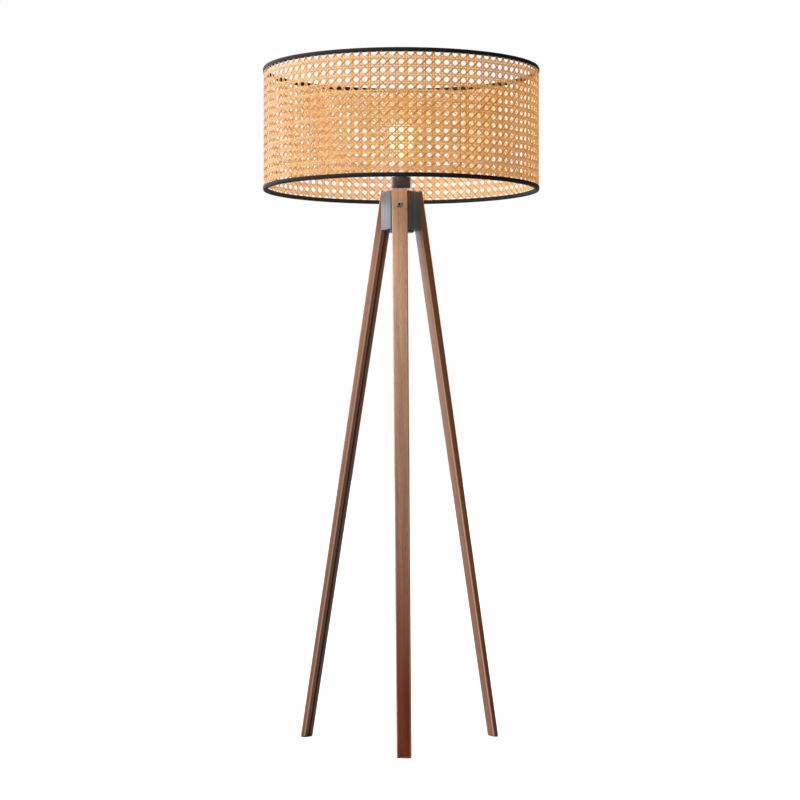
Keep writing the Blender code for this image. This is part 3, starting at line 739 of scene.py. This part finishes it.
def make_binding(finish):
    """Tape rolled over each edge of the drum, slightly puffed, with the weave showing through."""
    def ripple(angle, reach):
        wave = 0.00012 * np.cos(CELLS_ROUND * angle) + 0.00008 * np.cos(2 * CELLS_ROUND * angle + 1.0)
        return np.broadcast_to(wave, (len(angle), reach.shape[1]))

    for name, way in (("bottom", 1.0), ("top", -1.0)):
        node = "shade_trim_" + name
        low, high = heights(node)
        edge = low if way > 0.0 else high
        tall = high - low
        outer = outer_radius(node)
        inner = inner_radius(node)
        wall = BINDING_WALL
        profile = []
        for step in range(9):
            share = step / 8
            puff = BINDING_BULGE * math.sin(math.pi * (0.08 + 0.92 * share) ** 0.8) ** 0.7
            profile.append((outer - wall + puff, edge + way * tall * (1.0 - share)))
        for step in range(1, 6):
            angle = math.pi * step / 6
            half = (outer - inner) / 2 - wall / 2
            profile.append(((outer + inner) / 2 + half * math.cos(angle),
                            edge - way * BINDING_ROLL * math.sin(angle)))
        for step in range(7):
            share = step / 6
            puff = 0.5 * BINDING_BULGE * math.sin(math.pi * (0.08 + 0.92 * (1.0 - share)))
            profile.append((inner + wall - puff, edge + way * tall * share))
        near, far = inner + wall + BINDING_INSIDE, outer - wall - BINDING_INSIDE
        profile += [(near, edge + way * tall), (near, edge + way * wall),
                    (far, edge + way * wall), (far, edge + way * tall)]
        mesh = turned(profile, 388, ripple)
        piece("binding_" + name, mesh, finish, "shade", "binding", node, sharp=60.0)


# ---- legs and hub

@functools.cache
def leg_axes(name):
    """A leg's axes at its bolt: X out of its outer face, Y across it, Z up along it."""
    washer = middle("leg_washer_" + name)
    foot = mount("foot_" + name)
    points = points_of("leg_" + name)
    rough = (washer - foot).normalized()
    reach = points @ np.array(rough)
    top = Vector(points[reach > reach.max() - 0.006].mean(axis=0))
    up = (top - foot).normalized()
    aside = Vector((-washer.y, washer.x, 0.0)).normalized()
    out = aside.cross(up).normalized()
    origin = foot + up * (washer - foot).dot(up)
    axes = Matrix((out, up.cross(out), up)).transposed().to_4x4()
    return Matrix.Translation(origin) @ axes


@functools.cache
def leg_measures(name):
    """Half depth and half width at the foot and at the top, and both ends' places along the leg."""
    own = points_in(leg_axes(name), "leg_" + name)
    sizes = []
    for end in (own[:, 2].min(), own[:, 2].max()):
        near = own[np.abs(own[:, 2] - end) < 0.001]
        sizes.append((np.abs(near[:, 0]).max(), np.abs(near[:, 1]).max(), end))
    return sizes


def leg_half(name, along):
    """Half depth and half width of a leg at a place along it."""
    low, high = leg_measures(name)
    share = (along - low[2]) / (high[2] - low[2])
    return low[0] + (high[0] - low[0]) * share, low[1] + (high[1] - low[1]) * share


def leg_outline(name, along, grow=0.0):
    depth, width = (half + grow for half in leg_half(name, along))
    corners = [(-depth, -width), (depth, -width), (depth, width), (-depth, width)]
    return [(x, y, along) for x, y in rounded(corners, ARRIS)]


def leg_block(name, start, end, grow=0.0, runs=1):
    """A stretch of the leg's outline as a closed solid in the leg's own axes."""
    return skin([leg_outline(name, start + (end - start) * step / runs, grow)
                 for step in range(runs + 1)])


def make_leg(name, finish):
    low, high = leg_measures(name)
    mesh = leg_block(name, low[2], high[2], runs=40)
    cutters = []
    if name == "back_left":
        half = GROOVE_WIDTH / 2
        rings = []
        for along in (low[2] - 0.01, GROOVE_TOP):
            inner = -leg_half(name, along)[0]
            corners = [(inner - 0.002, -half), (inner + GROOVE_DEPTH, -half),
                       (inner + GROOVE_DEPTH, half), (inner - 0.002, half)]
            rings.append([(x, y, along) for x, y in corners])
        cutters.append(skin(rings))
    mesh = carved(mesh, cutters, SAWN_EDGE)
    own = vertices_of(mesh)
    depth, width = leg_half(name, own[:, 2])
    flat = ARRIS - 0.0003
    mark_points(mesh, "arris", (np.abs(own[:, 0]) > depth - flat) & (np.abs(own[:, 1]) > width - flat))
    own[:, 0] += GRAIN_SHIFT * len(name)
    place = mesh.attributes.new("leg_place", "FLOAT_VECTOR", "POINT")
    place.data.foreach_set("vector", own.ravel().astype(np.float32))
    placed(mesh, leg_axes(name))
    piece("wood_leg_" + name, mesh, finish, "tripod", "walnut", "leg_" + name)


def make_pad(name, finish):
    """Felt between the leg's end and the floor, with its lower edge drawn in."""
    place = leg_axes(name)
    end = leg_measures(name)[0][2] - CLEAR
    up = place.to_3x3() @ Vector((0.0, 0.0, 1.0))
    rings = []
    for share, inset in ((0.0, 0.0007), (0.25, 0.0001), (0.7, 0.0), (1.0, 0.0004)):
        ring = []
        for point in leg_outline(name, end, -inset - 0.0004):
            top = place @ Vector(point)
            bottom = top - up * (top.z / up.z)
            ring.append(bottom.lerp(top, share))
        rings.append(ring)
    mesh = skin(rings)
    piece("felt_pad_" + name, mesh, finish, "tripod", "foot_felt", "foot_pad_" + name)


def make_fixing(name, steel):
    """Pan-head bolt with a hexagon socket, over a chamfered washer."""
    place = leg_axes(name) @ Matrix.Rotation(math.pi / 2, 4, "Y")
    washer = points_in(place, "leg_washer_" + name)
    reach = reach_of(washer)
    high = washer[:, 2].max()
    profile = ring_outline(float(reach.min()), float(reach.max()), washer[:, 2].min(), high, 0.0003)
    mesh = turned(profile, 64, place=place)
    piece("washer_" + name, mesh, steel, "tripod", "steel", "leg_washer_" + name)
    bolt = points_in(place, "leg_bolt_" + name)
    head = float(reach_of(bolt).max())
    top = bolt[:, 2].max()
    under = high + CLEAR
    profile = [(BOLT_SHANK, bolt[:, 2].min()), (BOLT_SHANK, under), (head - 0.0003, under),
               (head, under + 0.0004)]
    crown = under + 0.0007
    profile += [(head * cosine ** 0.8, crown + (top - crown) * sine) for sine, cosine in quarter(9)[1:-1]]
    profile.append((0.0028, top))
    mesh = domed(profile, 64)
    socket = [[(SOCKET_RADIUS * math.cos(k * math.pi / 3), SOCKET_RADIUS * math.sin(k * math.pi / 3),
                height) for k in range(6)] for height in (top - SOCKET_DEPTH, top + 0.002)]
    mesh = carved(mesh, [skin(socket)], 0.00015)
    own = vertices_of(mesh)
    # Socket walls and floor, which get the painted shade.
    socket_shade = (reach_of(own) < SOCKET_RIM) & (own[:, 2] > under) & (own[:, 2] < top - 0.0003)
    mark_points(mesh, "socket_shade", socket_shade)
    placed(mesh, place)
    piece("bolt_" + name, mesh, steel, "tripod", "steel", "leg_bolt_" + name)


def hub_outline(inset, facet, corner):
    """Plan of the hub: three broad facets and, facing the legs, three cut corners."""
    reach = []
    for index in range(6):
        distance = (facet if index % 2 == 0 else corner) - inset
        reach.append((math.radians(-150.0 + 60.0 * index), distance))
    corners = []
    for index in range(6):
        first, near = reach[index]
        second, far = reach[(index + 1) % 6]
        across = (far - near * math.cos(second - first)) / math.sin(second - first)
        corners.append((near * math.cos(first) - across * math.sin(first),
                        near * math.sin(first) + across * math.cos(first)))
    return rounded(corners, HUB_ROUND, 5)


def make_hub(finish):
    points = points_of("hub")
    low, high = heights("hub")

    def reach(degrees):
        angle = math.radians(degrees)
        return float((points[:, 0] * math.cos(angle) + points[:, 1] * math.sin(angle)).max())

    facet, corner = reach(-150.0), reach(-90.0)
    rings = []
    for sine, cosine in quarter(4):
        rings.append([(x, y, low + HUB_FOOT_EDGE * (1.0 - cosine))
                      for x, y in hub_outline(HUB_FOOT_EDGE * (1.0 - sine), facet, corner)])
    for sine, cosine in quarter(8):
        rings.append([(x, y, high - HUB_EDGE * (1.0 - sine))
                      for x, y in hub_outline(HUB_EDGE * (1.0 - cosine), facet, corner)])
    mesh = skin(rings)
    cutters = []
    for name in LEGS:
        cutters.append(placed(leg_block(name, *HUB_SLOT, CLEAR), leg_axes(name)))
    cavity = [(CAVITY_RADIUS, low - 0.01), (CAVITY_RADIUS, CAVITY_TOP)]
    cutters.append(domed(cavity, 64))
    cutters.append(domed([(STEM_HOLE, CAVITY_TOP - 0.004), (STEM_HOLE, high + 0.01)], 48))
    mesh = carved(mesh, cutters, 0.0005)
    piece("hub_casting", mesh, finish, "tripod", "hub_paint", "hub")


def make_hub_cap(plastic):
    """Round cap under the hub, with a dished middle and a collar that fits the cavity."""
    cap_low, cap_high = heights("hub_bottom_cap")
    radius = outer_radius("hub_bottom_cap")
    under = heights("hub")[0] - CLEAR
    collar = CAVITY_RADIUS - 0.0004
    profile = [(0.0105, cap_low + 0.0009), (0.0115, cap_low)]
    profile += [(radius - CAP_EDGE * (1.0 - sine), cap_low + CAP_EDGE * (1.0 - cosine))
                for sine, cosine in quarter(6)]
    profile += [(radius, under - 0.0003), (radius - 0.0003, under), (collar, under),
                (collar, cap_high - 0.0005), (collar - 0.0005, cap_high)]
    mesh = domed(profile, 96)
    piece("hub_cap", mesh, plastic, "tripod", "black_plastic", "hub_bottom_cap")


# ---- wire frame of the shade

def make_rings(finish):
    """The two round wires inside the cane, each with a slightly thicker butt weld at the back."""
    for name in ("top", "bottom"):
        node = "shade_" + name + "_ring"
        inner, outer = inner_radius(node), outer_radius(node)
        circle, wire = (outer + inner) / 2, (outer - inner) / 2
        segments, sides = 240, 12
        turn = np.arange(segments) * 2.0 * math.pi / segments
        weld = 1.0 + 0.10 * np.exp(-((turn - math.pi / 2) * circle / 0.004) ** 2)
        around = np.arange(sides) * 2.0 * math.pi / sides
        reach = circle + wire * weld[:, None] * np.cos(around)
        rise = middle(node).z + wire * weld[:, None] * np.sin(around)
        rings = np.stack([reach * np.cos(turn)[:, None], reach * np.sin(turn)[:, None], rise], axis=-1)
        mesh = skin(rings, loop=True)
        piece("wire_ring_" + name, mesh, finish, "shade", "white_coat", node, sharp=75.0)


def make_carrier(finish):
    """Fitting ring with rounded edges, and the three bent arms."""
    node = "shade_fitting_ring"
    profile = ring_outline(inner_radius(node), outer_radius(node), *heights(node), 0.0006, 4)
    mesh = turned(profile, 128)
    piece("fitting_ring", mesh, finish, "shade", "white_coat", node)
    wire = ARM_THICKNESS / 2
    for name in ("back", "right", "left"):
        node = "shade_arm_" + name
        centre = middle(node)
        along = Vector((centre.x, centre.y, 0.0)).normalized()
        outer = outer_radius(node) - wire
        foot, top = heights(node)
        level = top - wire
        path = [(outer, foot), (outer, foot + 0.003), (outer, level - ARM_BEND)]
        path += [(outer - ARM_BEND * (1.0 - cosine), level - ARM_BEND * (1.0 - sine))
                 for sine, cosine in quarter(12)[1:]]
        inner = inner_radius(node)
        path += [(inner + (outer - ARM_BEND - inner) * share, level) for share in (0.5, 0.012, 0.0)]
        path = [along * radius + Vector((0.0, 0.0, height)) for radius, height in path]
        mesh = swept(path, wire)
        piece("carrier_arm_" + name, mesh, finish, "shade", "white_coat", node)


# ---- lampholder, bulb and stem

def make_holder_cap(black):
    """Black cap of the lampholder, open at the top."""
    node = "holder_cap"
    low, high = heights(node)
    radius, bore = outer_radius(node), inner_radius(node)
    inside, floor = radius - HOLDER_WALL, low + HOLDER_FLOOR
    corners = [(bore, low), (radius, low), (radius, high), (inside, high), (inside, floor), (bore, floor)]
    profile = rounded(corners, [0.0004, 0.0026, 0.0004, 0.0003, 0.0006, 0.0004])
    piece("lampholder_cap", turned(profile, 128), black, "tripod", "black_plastic", node)


def make_skirt(white):
    """White skirt: a spigot in the cap, a flange under the shade's ring, and a thread over it."""
    cap_top = heights("holder_cap")[1]
    low, top = heights("holder_skirt")
    points = points_of("holder_skirt")
    reach = reach_of(points)
    bore, flange = float(reach.min()), float(reach.max())
    spigot = float(reach[points[:, 2] < cap_top - 0.001].max())
    body = float(reach[points[:, 2] > top - 0.001].max())
    near_flange = points[reach > flange - 0.0005][:, 2]
    under, over = float(near_flange.min()), float(near_flange.max())
    seat = cap_top + CLEAR
    profile = [(bore, low), (spigot - 0.0004, low), (spigot, low + 0.0004), (spigot, seat),
               (body - 0.0003, seat), (body, seat + 0.0003), (body, under - 0.0006),
               (body + 0.0006, under), (flange - 0.0004, under), (flange, under + 0.0004),
               (flange, over - 0.0004), (flange - 0.0004, over), (body, over)]
    for step in range(int((top - over) / THREAD_PITCH)):
        start = over + 0.0008 + step * THREAD_PITCH
        profile += [(body - 0.0009, start), (body - 0.0009, start + 0.0006),
                    (body, start + 0.0012), (body, start + 0.0018)]
    profile += [(body - 0.0006, top), (bore + 0.0003, top), (bore, top - 0.0003)]
    mesh = turned(profile, 128)
    piece("lampholder_skirt", mesh, white, "tripod", "white_plastic", "holder_skirt")


def make_ring_nut(white):
    """Toothed ring nut that holds the shade on the flange."""
    node = "shade_ring_nut"
    radius = outer_radius(node)

    def teeth(angle, reach):
        tooth = np.clip(np.cos(angle * GRIP_TEETH) * 1.6, -1.0, 1.0)
        return np.where(reach > radius - 0.0012, 0.0004 * (tooth - 1.0), 0.0)

    profile = ring_outline(inner_radius(node), radius, *heights(node), 0.0008, 4)
    mesh = turned(profile, GRIP_TEETH * 12, teeth)
    piece("ring_nut", mesh, white, "ring_nut", "white_plastic", node)


def make_bulb(glass, steel):
    """Pear-shaped opal glass on a threaded screw cap."""
    points = points_of("bulb_glass")
    reach = reach_of(points)
    low, high = heights("bulb_glass")
    radius = float(reach.max())
    neck = float(reach[points[:, 2] < low + 0.001].max())
    centre = high - radius
    shoulder = low + BULB_SHOULDER
    profile = [(neck - 0.0006, low), (neck, low + 0.0006)]
    for step in range(25):
        share = step / 24
        swell = (1.0 - math.cos(math.pi * share)) / 2.0
        profile.append((neck + (radius - neck) * swell, shoulder + (centre - shoulder) * share))
    profile += [(radius * cosine, centre + radius * sine) for sine, cosine in quarter(24)[1:-1]]
    mesh = domed(profile, 96)
    piece("opal_bulb", mesh, glass, "bulb", "opal", "bulb_glass", sharp=60.0)
    bottom, top = heights("bulb_cap")
    radius = outer_radius("bulb_cap")
    seat = neck + 0.0004
    start = bottom + 0.0022
    profile = [(0.0004, bottom), (CAP_CONTACT, bottom), (CAP_CONTACT + 0.0004, bottom + 0.0004)]
    steps = 32
    for step in range(steps + 1):
        wave = (1.0 - math.cos(2.0 * math.pi * step / 8)) / 2.0
        profile.append((radius - SCREW_DEPTH * (1.0 - wave), start + CAP_SCREW_LENGTH * step / steps))
    profile += [(radius - 0.0004, top - 0.0050), (radius, top - 0.0044), (radius, top - 0.0006),
                (radius - 0.0003, top), (seat, top), (seat, low - 0.0006), (CAP_INSIDE, low - 0.0016),
                (CAP_INSIDE, bottom + 0.0012), (0.0004, bottom + 0.0012)]
    mesh = turned(profile, 96)
    piece("bulb_screw_cap", mesh, steel, "bulb", "steel", "bulb_cap")


def make_stem(steel):
    """Stem with a ringed surface for its thread."""
    low, high = heights("stem_tube")
    bore, radius = inner_radius("stem_tube"), outer_radius("stem_tube")
    profile = [(bore, low), (radius - 0.0007, low)]
    for step in range(int((high - low - 0.001) / STEM_PITCH)):
        start = low + 0.0008 + STEM_PITCH * step
        profile += [(radius - 0.0006, start - 0.0002), (radius, start + 0.0003)]
    profile += [(radius - 0.0007, high), (bore, high)]
    piece("threaded_stem", turned(profile, 48), steel, "tripod", "steel", "stem_tube")


def make_stem_washer(node, steel):
    profile = ring_outline(inner_radius(node), outer_radius(node), *heights(node), 0.0003)
    piece(node + "_round", turned(profile, 96), steel, "tripod", "steel", node)


def make_stem_nut(node, steel):
    """Hexagon nut with its corners drawn in at both faces."""
    low, high = heights(node)
    bore, corner = inner_radius(node), outer_radius(node)
    rings = []
    for draw, height in ((0.0005, low), (0.0, low + 0.0005), (0.0, high - 0.0005), (0.0005, high)):
        rings.append([((corner - draw) * math.cos(k * math.pi / 3),
                       (corner - draw) * math.sin(k * math.pi / 3), height) for k in range(6)])
    hole = domed([(bore, low - 0.002), (bore, high + 0.002)], 64)
    mesh = carved(skin(rings), [hole], 0.0002)
    piece(node + "_hex", mesh, steel, "tripod", "steel", node)


def lead_path():
    """Down the stem, out of the hub in two equal bends, then down the groove to its outlet."""
    name = "back_left"
    place = leg_axes(name)
    up = place.to_3x3() @ Vector((0.0, 0.0, 1.0))
    bolt = place.translation
    outward = Vector((bolt.x, bolt.y, 0.0)).normalized()
    tilt = math.atan2(-up.dot(outward), up.z)

    def in_groove(along):
        floor = GROOVE_DEPTH - leg_half(name, along)[0]
        return place @ Vector((floor - CLEAR - LEAD_THICKNESS / 2, 0.0, along))

    drop = LEAD_BEND * (2.0 * math.sin(LEAD_SWING) - math.sin(tilt))
    along = (LEAD_TURN - drop - bolt.z) / math.cos(tilt)
    landing = in_groove(along)
    outward = Vector((landing.x, landing.y, 0.0))
    outward /= LEAD_BEND * (1.0 + math.cos(tilt) - 2.0 * math.cos(LEAD_SWING))
    points = [Vector((0.0, 0.0, heights("leg_lead")[1])), Vector((0.0, 0.0, LEAD_TURN))]
    steps = 16
    for step in range(1, steps + 1):
        angle = LEAD_SWING * step / steps
        points.append(outward * LEAD_BEND * (1.0 - math.cos(angle))
                      + Vector((0.0, 0.0, LEAD_TURN - LEAD_BEND * math.sin(angle))))
    for step in range(1, steps):
        angle = LEAD_SWING + (tilt - LEAD_SWING) * step / steps
        reach = LEAD_BEND * (1.0 + math.cos(angle) - 2.0 * math.cos(LEAD_SWING))
        fall = LEAD_BEND * (2.0 * math.sin(LEAD_SWING) - math.sin(angle))
        points.append(outward * reach + Vector((0.0, 0.0, LEAD_TURN - fall)))
    end = leg_measures(name)[0][2] + OUTLET_LENGTH + CLEAR
    runs = 40
    return points + [in_groove(along + (end - along) * step / runs) for step in range(runs + 1)]


def make_lead(rubber):
    """Round lead through the stem and down the groove, and its moulded outlet at the foot."""
    place = leg_axes("back_left")
    points = points_in(place, "lead_outlet")
    low, high = points.min(axis=0), points.max(axis=0)
    back, floor, half = low[0], high[0], high[1]
    rings = []
    for share, inset in ((0.0, 0.0005), (0.04, 0.0), (0.30, 0.0), (0.34, 0.0006), (0.42, 0.0006),
                         (0.46, 0.0), (0.76, 0.0), (0.86, 0.0006), (1.0, 0.0018)):
        corners = [(back + inset, -half), (floor, -half), (floor, half), (back + inset, half)]
        along = low[2] + (high[2] - low[2]) * share
        rings.append([(x, y, along) for x, y in rounded(corners, [0.0012, 0.0004, 0.0004, 0.0012], 5)])
    mesh = placed(skin(rings), place)
    piece("lead_outlet_boot", mesh, rubber, "tripod", "lead_rubber", "lead_outlet")
    mesh = swept(lead_path(), LEAD_THICKNESS / 2)
    piece("round_lead", mesh, rubber, "tripod", "lead_rubber", "leg_lead")


# ---- camera, light and floor

def make_camera():
    data = bpy.data.cameras.new("camera")
    data.sensor_width = 36.0
    data.lens = CAMERA_LENS
    data.shift_x, data.shift_y = CAMERA_SHIFT
    data.clip_end = 60.0
    camera = bpy.data.objects.new("camera", data)
    camera.location = (CAMERA_DISTANCE * math.sin(CAMERA_TURN),
                       -CAMERA_DISTANCE * math.cos(CAMERA_TURN), CAMERA_HEIGHT)
    camera.rotation_euler = (math.pi / 2, 0.0, CAMERA_TURN)
    bpy.context.scene.collection.objects.link(camera)
    bpy.context.scene.camera = camera


def add_light(name, kind, place, aim, energy, color=(1.0, 1.0, 1.0), **settings):
    data = bpy.data.lights.new(name, kind)
    data.energy = energy
    data.color = color
    for key, value in settings.items():
        setattr(data, key, value)
    light = bpy.data.objects.new(name, data)
    light.location = place
    if aim is not None:
        light.rotation_euler = (Vector(aim) - Vector(place)).to_track_quat("-Z", "Y").to_euler()
    bpy.context.scene.collection.objects.link(light)
    return light


def make_studio():
    """White floor and background, soft light from the left, and the lamp's own warm bulb."""
    mesh = bpy.data.meshes.new("floor")
    bm = bmesh.new()
    bmesh.ops.create_grid(bm, x_segments=1, y_segments=1, size=30.0)
    bm.to_mesh(mesh)
    bm.free()
    floor = bpy.data.objects.new("floor", mesh)
    bpy.context.scene.collection.objects.link(floor)
    paint = Finish("studio_floor")
    seen = paint.add("LightPath").outputs["Is Camera Ray"]
    mesh.materials.append(paint.done(
        Base_Color=(FLOOR_TONE, FLOOR_TONE, FLOOR_TONE, 1.0), Roughness=0.9,
        Emission_Color=(1.0, 1.0, 1.0, 1.0),
        Emission_Strength=paint.range(seen, 0.0, 1.0, *FLOOR_GLOW)))
    world = bpy.data.worlds.new("studio")
    bpy.context.scene.world = world
    world.use_nodes = True
    sky = Tree(world.node_tree)
    toward = sky.add("VectorMath", {
        0: sky.add("TexCoord").outputs["Generated"], 1: WINDOW}, operation="DOT_PRODUCT")
    strength = sky.add("MapRange", {
        0: toward.outputs["Value"], 1: WINDOW_EDGES[0], 2: WINDOW_EDGES[1], 3: WINDOW_STRENGTHS[0],
        4: WINDOW_STRENGTHS[1]}, interpolation_type="SMOOTHSTEP").outputs[0]
    lit = sky.add("Background", {"Color": (0.96, 0.98, 1.0, 1.0), "Strength": strength})
    seen = sky.add("Background", {"Color": (1.0, 1.0, 1.0, 1.0)})
    either = sky.add("MixShader", {0: sky.add("LightPath").outputs["Is Camera Ray"],
                                   1: lit.outputs[0], 2: seen.outputs[0]})
    sky.set(sky.tree.nodes["World Output"].inputs["Surface"], either.outputs[0])
    add_light("key", "SUN", (-3.2, -3.2, 2.4), (0.0, 0.0, 0.6), KEY_SUN, angle=math.radians(25.0))
    add_light("top", "SUN", (-0.6, -0.4, 5.0), (0.0, 0.0, 0.0), TOP_SUN, angle=math.radians(60.0))
    high = heights("bulb_glass")[1]
    glow = add_light("bulb_light", "POINT", (0.0, 0.0, high - BULB_LIGHT_BELOW_TOP), None, BULB_WATTS,
                     BULB_COLOR, shadow_soft_size=BULB_LIGHT_RADIUS)
    glow.visible_camera = False
    bpy.context.scene.view_settings.view_transform = "Standard"


# ---- assembly

def main():
    make_camera()
    make_studio()
    cane = cane_finish("honey_cane", 0.7, 0.03)
    # The back legs' tones are darker than the front leg's: painted shade on the back legs, and a painted
    # sheen on the front leg's top.
    wood = wood_finish("walnut_back_legs_painted_shade", ((120, 76, 40), (152, 102, 60)),
                       ((94, 48, 22), (128, 72, 38)), 0.45)
    front_wood = wood_finish("walnut_front_leg_painted_sheen", ((186, 142, 112), (222, 184, 154)),
                             ((80, 25, 3), (114, 46, 9)), 0.03)
    charcoal = painted_finish("charcoal_paint", (66, 69, 73), (112, 116, 122), 0.34, 0.45)
    plastic = moulded_finish("black_plastic", (50, 56, 64), (68, 74, 83), 0.24)
    # The white plastic gets a faint emission: painted light that brightens it beyond what the lamps give.
    white = moulded_finish("white_plastic", (222, 220, 213), (240, 238, 233), 0.36, 0.35)
    rubber = moulded_finish("black_rubber", (16, 16, 17), (28, 28, 30), 0.6)
    steel = metal_finish("zinc_plate", (150, 154, 158), (196, 198, 200), 0.3)
    zinc = metal_finish("dull_zinc", (112, 116, 112), (160, 164, 160), 0.34)
    brass = metal_finish("turned_brass", (190, 150, 80), (220, 184, 110), 0.28)
    ceramic = moulded_finish("fired_ceramic", (222, 216, 204), (240, 237, 229), 0.4)
    coated = moulded_finish("white_powder_coat", (232, 229, 222), (244, 242, 238), 0.42)
    felt = felt_finish()
    opal = opal_finish()
    by_slot = {"walnut": wood, "hub_paint": charcoal, "black_plastic": plastic,
               "white_plastic": white, "steel": steel, "brass": brass,
               "ceramic": ceramic, "lead_rubber": rubber, "foot_felt": felt,
               "cane": cane, "binding": binding_finish(), "white_coat": coated, "opal": opal}
    for part in frame["record"]["subparts"]:
        data = nodes[part["node"]].data
        data.materials.clear()
        data.materials.append(by_slot[part["material_slot"]])
    make_uprights(cane)
    make_rows(cane)
    # Each diagonal direction gets its own copy of the cane finish, with a different strength of painted
    # edge shade.
    make_diagonals("cane_diagonals_right", 1.0, cane_finish("honey_cane_right", 1.0, -0.03))
    make_diagonals("cane_diagonals_left", -1.0, cane_finish("honey_cane_left", 0.8, 0.03))
    make_binding(by_slot["binding"])
    for name in LEGS:
        make_leg(name, front_wood if name == "front" else wood)
        make_pad(name, felt)
        make_fixing(name, zinc)
    make_hub(charcoal)
    make_hub_cap(plastic)
    make_rings(coated)
    make_carrier(coated)
    make_holder_cap(plastic)
    make_skirt(white)
    make_ring_nut(white)
    make_bulb(opal, steel)
    make_stem(steel)
    for node in ("stem_top_washer", "stem_bottom_washer"):
        make_stem_washer(node, steel)
    for node in ("stem_top_nut", "stem_bottom_nut", "holder_lock_nut"):
        make_stem_nut(node, steel)
    make_lead(rubber)


main()
